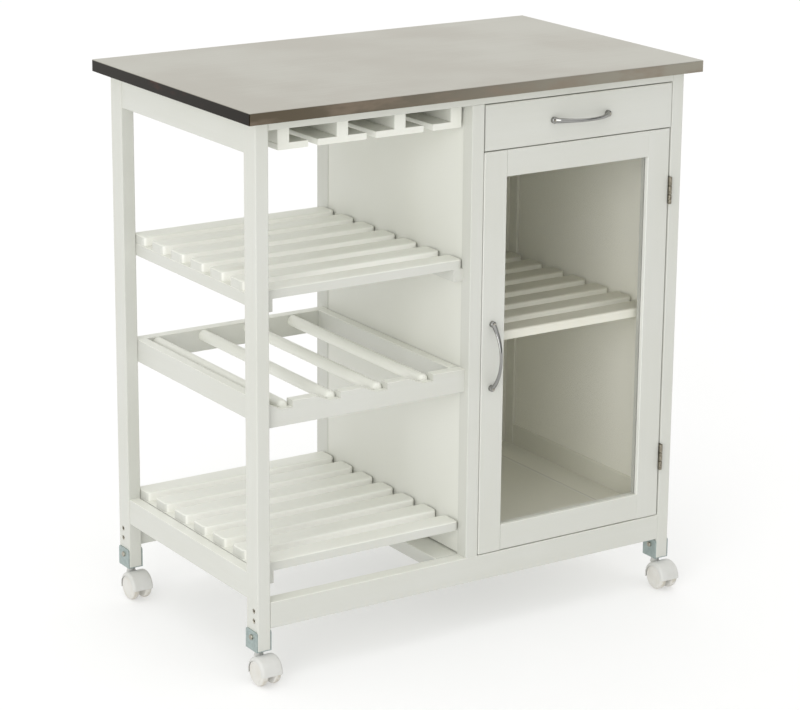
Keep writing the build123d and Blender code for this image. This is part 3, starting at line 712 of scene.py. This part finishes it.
# %% [markdown]
# ## The wheels
# A twin-wheel caster has two solid nylon wheels with a domed face, a big round at the outer edge and a
# smaller one at the inner edge. A wheel is the plainest lathe work: half of its section is drawn as a line of
# points, two corners are rounded with a vertex bevel, and a full spin closes it. Each point also keeps how
# near it is to the tread, so the material can show wear from the floor there, and painted shade where the
# hood hangs over it.

# %% Wheels
BORE_R = 0.0033
BORE_DEPTH = 0.0079
DOME_RISE = 0.0005
DOME_BREAK = 0.6
HUB_FLAT_R = 0.0018
RIM_LINE_R = 0.0122
RIM_LINE_DEPTH = 0.0003
OUTER_ROUND = 0.0046
INNER_ROUND = 0.0030
TREAD_DEPTH = 0.0012
WHEEL_STEPS = 64


def twin_wheel(node):
    """A wheel whose inner face looks at the middle of its hood."""
    low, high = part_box(node)
    corner = node.removeprefix("wheel_").rsplit("_", 1)[0]
    hood_low, hood_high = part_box("caster_hood_" + corner)
    wide = high.x - low.x
    radius = (high.z - low.z) / 2
    face = wide - DOME_RISE
    section = [
        (BORE_DEPTH, 0), (BORE_DEPTH, BORE_R), (0, BORE_R), (0, radius), (face, radius),
        (face, RIM_LINE_R + RIM_LINE_DEPTH), (face - RIM_LINE_DEPTH, RIM_LINE_R),
        (face, RIM_LINE_R - RIM_LINE_DEPTH), (face + DOME_BREAK * DOME_RISE, DOME_BREAK * RIM_LINE_R),
        (wide, HUB_FLAT_R), (wide, 0),
    ]
    bm = bmesh.new()
    line = line_of(bm, [(out, 0, reach) for out, reach in section])
    soften(bm, [line[3]], INNER_ROUND)
    soften(bm, [line[4]], OUTER_ROUND)
    spin_round(bm, (1, 0, 0), WHEEL_STEPS)
    tread = bm.verts.layers.float.new("tread")
    for vert in bm.verts:
        vert[tread] = max(0.0, 1 - (radius - vert.co.yz.length) / TREAD_DEPTH)
    out = 1 if low.x + high.x > hood_low.x + hood_high.x else -1
    bmesh.ops.scale(bm, vec=(out, 1, 1), verts=bm.verts)
    inner = low.x if out > 0 else high.x
    bmesh.ops.translate(bm, verts=bm.verts, vec=(inner, (low.y + high.y) / 2, (low.z + high.z) / 2))
    add_piece("turned_" + node, bm, wheel_nylon, node, "wheel_nylon", node)


for node in [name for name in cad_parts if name.startswith("wheel_")]:
    twin_wheel(node)

# %% [markdown]
# ## The hoods
# A caster's hood is one moulding: a cover with pillowed edges that wraps over both wheels and ends above the
# floor, a web between the wheels that holds the axle, and a boss behind for the stem. Cover and boss are
# lathe work again, the cover over half a turn round the axle and the boss all round the stem. The web is
# a disc that two cuts trim, so a gap shows between the wheels under the cover's lip. A Boolean modifier
# then joins the shells into one skin and drills the stem's hole, which no single bmesh operator does.

# %% Hood cover
COVER_WALL = 0.0018
COVER_ROUND = 0.0042
COVER_INNER_ROUND = 0.0025
COVER_SIDE = 0.0046
COVER_RIM = 0.0004
COVER_FRONT = math.radians(-2)
COVER_BACK = math.radians(195)
COVER_STEPS = 48


def close_ends(bm):
    """Fills every open loop with a face."""
    bmesh.ops.edgeloop_fill(bm, edges=[edge for edge in bm.edges if edge.is_boundary])


def cover_shell(half, reach):
    """The cover round an axle at the origin, from its front lip over the top to its back end."""
    bm = bmesh.new()
    inside, side = reach - COVER_WALL, reach - COVER_SIDE
    section = []
    for end in (1, -1):
        outer, inner = end * half, end * (half - COVER_RIM)
        arm = [(outer, reach), (outer, side), (inner, side), (inner, inside)]
        section += arm if end > 0 else arm[::-1]
    rise, fore = math.sin(COVER_FRONT), -math.cos(COVER_FRONT)
    line = line_of(bm, [(out, far * fore, far * rise) for out, far in section], closed=True)
    soften(bm, [line[0], line[7]], COVER_ROUND)
    soften(bm, [line[3], line[4]], COVER_INNER_ROUND)
    sweep = COVER_BACK - COVER_FRONT
    bmesh.ops.spin(bm, geom=bm.verts[:] + bm.edges[:], axis=(-1, 0, 0), angle=sweep, steps=COVER_STEPS)
    close_ends(bm)
    return bm


print("cover wraps over", round(math.degrees(COVER_BACK - COVER_FRONT)), "degrees")

# %% Hood web and boss
WEB_HALF = 0.004
WEB_LOW = -0.0046
WEB_FRONT = -0.003
WEB_SEGMENTS = 64
HOOD_BOSS_R = 0.0055
BOSS_FOOT_R = 0.0066
BOSS_H = 0.0075
BOSS_EDGE = 0.0008
BOSS_STEPS = 48
NECK_H = 0.0205
NECK_SHY = 0.00002
CUT_DIST = 1e-7


def trim(bm, point, normal):
    """Cuts off what lies on the normal's side of a plane, and closes the cut."""
    geom = bm.verts[:] + bm.edges[:] + bm.faces[:]
    bmesh.ops.bisect_plane(
        bm, geom=geom, dist=CUT_DIST, plane_co=point, plane_no=normal, clear_outer=True
    )
    close_ends(bm)


def web_plate(reach):
    """The disc between the wheels, trimmed below the axle and under the front lip."""
    bm = bmesh.new()
    wall = reach - COVER_WALL / 2
    bmesh.ops.create_cone(
        bm, cap_ends=True, segments=WEB_SEGMENTS, radius1=wall, radius2=wall, depth=2 * WEB_HALF
    )
    turn = Vector((0, 0, 1)).rotation_difference(Vector((1, 0, 0))).to_matrix()
    bmesh.ops.rotate(bm, verts=bm.verts, matrix=turn)
    trim(bm, (0, 0, WEB_LOW), (0, 0, -1))
    lip = (-wall * math.cos(COVER_FRONT), wall * math.sin(COVER_FRONT))
    trim(bm, (0, WEB_FRONT, WEB_LOW), (0, WEB_LOW - lip[1], lip[0] - WEB_FRONT))
    return bm


def turned(outline, rounded=()):
    """A solid spun round Z from half of its outline, with some of the outline's corners rounded."""
    bm = bmesh.new()
    line = line_of(bm, [(far, 0, up) for far, up in outline])
    if rounded:
        soften(bm, [line[i] for i in rounded], BOSS_EDGE, RIM_SEGMENTS)
    spin_round(bm, (0, 0, 1), BOSS_STEPS)
    bmesh.ops.remove_doubles(bm, verts=bm.verts, dist=MERGE_DIST)
    return bm


def stem_boss(top):
    """The boss round the stem's line at the origin, and under it a neck a hair thinner than the web.

    With both flats in one plane, the Boolean's result would differ from run to run.
    """
    foot, low, high = top - BOSS_H, top - NECK_H, top - BOSS_H + BOSS_EDGE
    waist = foot + BOSS_H / 2
    boss = [(0, foot), (BOSS_FOOT_R, foot), (HOOD_BOSS_R, waist), (HOOD_BOSS_R, top), (0, top)]
    neck = turned([(0, low), (HOOD_BOSS_R, low), (HOOD_BOSS_R, high), (0, high)])
    for side in (1, -1):
        trim(neck, (side * (WEB_HALF - NECK_SHY), 0, 0), (side, 0, 0))
    return [turned(boss, rounded=(1, 3)), neck]


print("web", 2000 * WEB_HALF, "mm thick, boss", 2000 * HOOD_BOSS_R, "mm across")

# %% Hoods
STEM_BORE_R = 0.00315
STEM_SEAT = 0.0178
BORE_SEGMENTS = 48
AXLE_R = 0.003
AXLE_EDGE = 0.0003
AXLE_SHORT = 0.003
AXLE_SEGMENTS = 24
SORT_DIGITS = 6


def sort_by(parts, place):
    """Puts a bmesh's points or faces in the order of their places."""
    ranks = {part: i for i, part in enumerate(sorted(parts, key=place))}
    parts.sort(key=ranks.get)


def one_skin(shells, drill):
    """Joins overlapping shells into one skin, with the drill's shape taken out of it.

    The solver gives points and faces in an order that changes from run to run, so they are sorted.
    """
    whole = bmesh.new()
    for shell in shells + [drill]:
        bmesh.ops.recalc_face_normals(shell, faces=shell.faces)
    for shell in shells:
        step = as_mesh("shell", shell)
        whole.from_mesh(step)
        bpy.data.meshes.remove(step)
    solid = show("solid", as_mesh("solid", whole))
    bit = show("drill", as_mesh("drill", drill))
    cut = solid.modifiers.new("drill", "BOOLEAN")
    cut.operation = "DIFFERENCE"
    cut.solver = "EXACT"
    cut.use_self = True
    cut.object = bit
    view = bpy.context.evaluated_depsgraph_get()
    made = bpy.data.meshes.new_from_object(solid.evaluated_get(view))
    skin = bmesh.new()
    skin.from_mesh(made)
    bmesh.ops.remove_doubles(skin, verts=skin.verts, dist=MERGE_DIST)
    sort_by(skin.verts, lambda vert: vert.co.to_tuple(SORT_DIGITS))
    sort_by(skin.faces, lambda face: face.calc_center_median().to_tuple(SORT_DIGITS))
    for mesh in (made, solid.data, bit.data):
        bpy.data.meshes.remove(mesh)
    return skin


def caster_hood(node):
    """One caster's hood, from its node's box and the wheel beside it."""
    corner = node.removeprefix("caster_hood_")
    low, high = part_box(node)
    wheel_low, wheel_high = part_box(f"wheel_{corner}_b")
    height = (wheel_low.z + wheel_high.z) / 2
    axle = Vector(((low.x + high.x) / 2, (wheel_low.y + wheel_high.y) / 2, height))
    stem = Vector((axle.x, high.y - HOOD_BOSS_R, 0))
    half, reach = (high.x - low.x) / 2, axle.y - low.y
    pin, drill = bmesh.new(), bmesh.new()
    end = Vector((half - AXLE_SHORT, 0, 0))
    rounded_pin(pin, -end, end, AXLE_R, AXLE_EDGE, AXLE_SEGMENTS, both=True)
    bmesh.ops.create_cone(
        drill, cap_ends=True, segments=BORE_SEGMENTS, radius1=STEM_BORE_R, radius2=STEM_BORE_R,
        depth=2 * STEM_SEAT,
    )
    bmesh.ops.translate(drill, verts=drill.verts, vec=stem + Vector((0, 0, high.z)))
    placed = [(cover_shell(half, reach), axle), (web_plate(reach), axle), (pin, axle)]
    placed += [(shell, stem) for shell in stem_boss(high.z)]
    for shell, place in placed:
        bmesh.ops.translate(shell, verts=shell.verts, vec=place)
    skin = one_skin([shell for shell, place in placed], drill)
    add_piece("moulded_" + node, skin, hood_nylon, "caster_" + corner, "hood_nylon", node)


for node in [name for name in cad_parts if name.startswith("caster_hood_")]:
    caster_hood(node)

# %% [markdown]
# ## The hinges
# A butt hinge has two leaves and three knuckles round a pin: the post's leaf has the outer two knuckles, and
# the door's leaf has the middle one. From the front only the knuckles show, as three short barrels with a
# dark line between them, so each barrel gets rounded rims and the leaves stay plain plates.

# %% Hinges
HINGE_H = 0.036
POST_W = 0.018
LEAF_T = 0.001
KNUCKLE_R = 0.0025
KNUCKLE_RIM = 0.0011
KNUCKLE_CLEAR = 0.0003
KNUCKLE_SEGMENTS = 20


def plate(bm, low, high):
    """A box between two corners."""
    low, high = Vector(low), Vector(high)
    made = bmesh.ops.create_cube(bm, size=1)["verts"]
    bmesh.ops.scale(bm, vec=high - low, verts=made)
    bmesh.ops.translate(bm, verts=made, vec=(low + high) / 2)


def hinge_leaves(node, body, leaf_x, knuckles, clear=0.0):
    """Both hinges' leaves on one side. The knuckles are counted in thirds of the hinge, from below.

    A knuckle between two others is shorter by a clearance at each end.
    """
    bm = bmesh.new()
    pin_low, pin_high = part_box("hinge_pins")
    middle = (pin_low + pin_high) / 2
    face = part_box("door_stiles")[0].y
    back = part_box(node)[1].y
    third = HINGE_H / 3
    for foot in (pin_low.z, pin_high.z - HINGE_H):
        plate(bm, (leaf_x, face, foot), (leaf_x + LEAF_T, back, foot + HINGE_H))
        for i in knuckles:
            low, high = foot + i * third + clear, foot + (i + 1) * third - clear
            plate(bm, (leaf_x, middle.y, low), (leaf_x + LEAF_T, face + LEAF_T, high))
            start, end = (middle.x, middle.y, low), (middle.x, middle.y, high)
            rounded_pin(bm, start, end, KNUCKLE_R, KNUCKLE_RIM, KNUCKLE_SEGMENTS, both=True)
    add_piece("knuckles_of_" + node, bm, hinge_steel, body, "hinge_steel", node)


hinge_leaves("hinge_frame_leaves", "frame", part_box("front_posts")[1].x - POST_W - LEAF_T, (0, 2))
hinge_leaves("hinge_door_leaves", "door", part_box("door_stiles")[1].x, (1,), KNUCKLE_CLEAR)

# %% [markdown]
# ## The studio
# A plain pale floor, a very wide sun in front and above, one large soft light on the left, and a sky that is
# bright behind the cart and dim in front of it. Large lights give soft shadows, which suits white paint, and
# the dim front keeps the glass clear, because a pane mirrors what stands in front of it. The floor glows a
# little, as a light table does, so the shadow under the cart stays pale.

# %% Floor
FLOOR_REACH = 30
FLOOR_TONES = ((0.54, 0.54, 0.54, 1), (0.56, 0.56, 0.56, 1))
FLOOR_GLOW = {"Roughness": 0.8, "Emission Color": (1.0, 1.0, 0.99, 1), "Emission Strength": 0.4}

floor_bm = bmesh.new()
bmesh.ops.create_grid(floor_bm, x_segments=1, y_segments=1, size=FLOOR_REACH)
floor = show("floor", as_mesh("floor", floor_bm))
floor_paint, floor_shader, floor_place = finish("floor_paint", FLOOR_GLOW)
feed(floor_shader, base_color=floor_place.noise(3.0).mix(*FLOOR_TONES))
floor.data.materials.append(floor_paint)
print("floor", 2 * FLOOR_REACH, "m wide")

# %% Lights and sky
SUN_PLACE = (-1.2, -3.0, 3.6)
SUN_AIM = (0, 0, 0)
SUN_DEGREES = 100
SUN_POWER = 1.5
KEY_PLACE = (-4.4, -3.4, 1.7)
KEY_AIM = (0, 0, 0.35)
KEY_SIZE = 3.0
KEY_POWER = 108
SKY_BRIGHT_SIDE = (0.2, 0.85, 0.5)
SKY_SPREAD = (-0.5, 0.75)
SKY_TONES = ((0.15, 0.15, 0.15, 1), (1.0, 1.0, 0.99, 1))


def soft_light(name, kind, place, aim, size, power):
    """A large light that faces a point: a square AREA light, or a SUN as wide as its angle."""
    data = bpy.data.lights.new(name, kind)
    data.energy = power
    if kind == "SUN":
        data.angle = math.radians(size)
    else:
        data.size = size
    light = show(name, data)
    light.location = place
    light.rotation_euler = (Vector(aim) - Vector(place)).to_track_quat("-Z", "Y").to_euler()


soft_light("over", "SUN", SUN_PLACE, SUN_AIM, SUN_DEGREES, SUN_POWER)
soft_light("key", "AREA", KEY_PLACE, KEY_AIM, KEY_SIZE, KEY_POWER)
world = bpy.data.worlds.new("studio")
world.use_nodes = True
bpy.context.scene.world = world
sky = world.node_tree.nodes["Background"]
sky.inputs["Strength"].default_value = 1.0
direction = Wire(world.node_tree.nodes.new("ShaderNodeTexCoord").outputs["Generated"])
toward = direction.node(
    "VectorMath", {"operation": "DOT_PRODUCT"}, {0: direction, 1: SKY_BRIGHT_SIDE}, out=1
)
dome = toward.ramp(*SKY_SPREAD).mix(*SKY_TONES)
world.node_tree.links.new(dome.socket, sky.inputs["Color"])
bpy.context.scene.view_settings.view_transform = "Standard"
print("lights: 2 and a sky")
